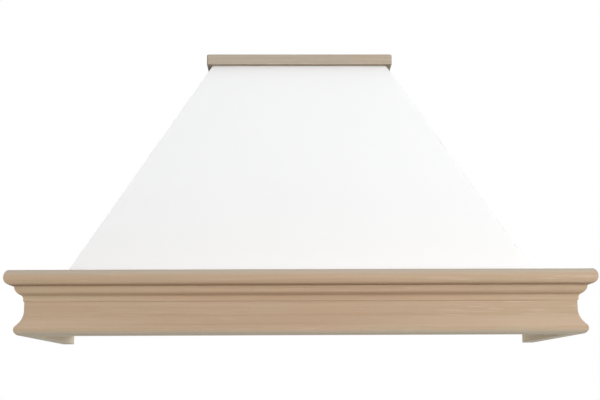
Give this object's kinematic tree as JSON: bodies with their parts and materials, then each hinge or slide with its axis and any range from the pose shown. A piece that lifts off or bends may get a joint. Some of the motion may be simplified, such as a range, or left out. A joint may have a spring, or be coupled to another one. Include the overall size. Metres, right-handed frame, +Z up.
{
  "type": "range hood cover",
  "caption": "Wooden wall range hood cover: tapered white canopy on a mantel shelf with stepped, mitred mouldings, a small top collar and an inner softwood frame that hangs on a wall cleat.",
  "frame": {"origin": "middle of the hanging rail's back face, on the wall plane", "axes": "+X to the right along the wall seen from the front, +Y into the wall, +Z up"},
  "size_m": [1.2, 0.5, 0.6415],
  "materials": {
    "raw_hardwood": "unfinished light hardwood, sanded, fine straight grain along each moulding",
    "white_paint": "satin white paint on board",
    "softwood": "planed softwood, bare",
    "zinc_steel": "zinc plated"
  },
  "bodies": {
    "root": {"angle_bracket_left": "zinc_steel", "angle_bracket_right": "zinc_steel", "back_rail": "softwood", "bed_moulding_front": "raw_hardwood", "bed_moulding_left": "raw_hardwood", "bed_moulding_right": "raw_hardwood", "bracket_screw_left_1": "zinc_steel", "bracket_screw_left_2": "zinc_steel", "bracket_screw_right_1": "zinc_steel", "bracket_screw_right_2": "zinc_steel", "canopy_panel_front": "white_paint", "canopy_panel_left": "white_paint", "canopy_panel_right": "white_paint", "collar_front": "raw_hardwood", "collar_left": "raw_hardwood", "collar_right": "raw_hardwood", "corner_block_left": "softwood", "corner_block_right": "softwood", "flue_frame_back": "softwood", "flue_frame_front": "softwood", "flue_frame_left": "softwood", "flue_frame_right": "softwood", "front_stud": "softwood", "hanging_rail": "softwood", "hip_post_left": "softwood", "hip_post_right": "softwood", "lap_screw_1": "zinc_steel", "lap_screw_2": "zinc_steel", "lap_screw_3": "zinc_steel", "lap_screw_4": "zinc_steel", "liner_cleat_back": "softwood", "liner_cleat_front": "softwood", "liner_cleat_left": "softwood", "liner_cleat_right": "softwood", "rail_front": "raw_hardwood", "rail_left": "raw_hardwood", "rail_right": "raw_hardwood", "shelf_front": "raw_hardwood", "shelf_ledger_front": "softwood", "shelf_ledger_left": "softwood", "shelf_ledger_right": "softwood", "shelf_left": "raw_hardwood", "shelf_right": "raw_hardwood", "sole_batten_front": "softwood", "sole_batten_left": "softwood", "sole_batten_right": "softwood", "sole_screw_1": "zinc_steel", "sole_screw_2": "zinc_steel", "sole_screw_3": "zinc_steel", "sole_screw_4": "zinc_steel", "sole_screw_5": "zinc_steel", "sole_screw_6": "zinc_steel", "sole_screw_7": "zinc_steel", "sole_screw_8": "zinc_steel", "wall_cleat": "softwood", "wall_stile_left": "softwood", "wall_stile_right": "softwood"}
  },
  "joints": []
}
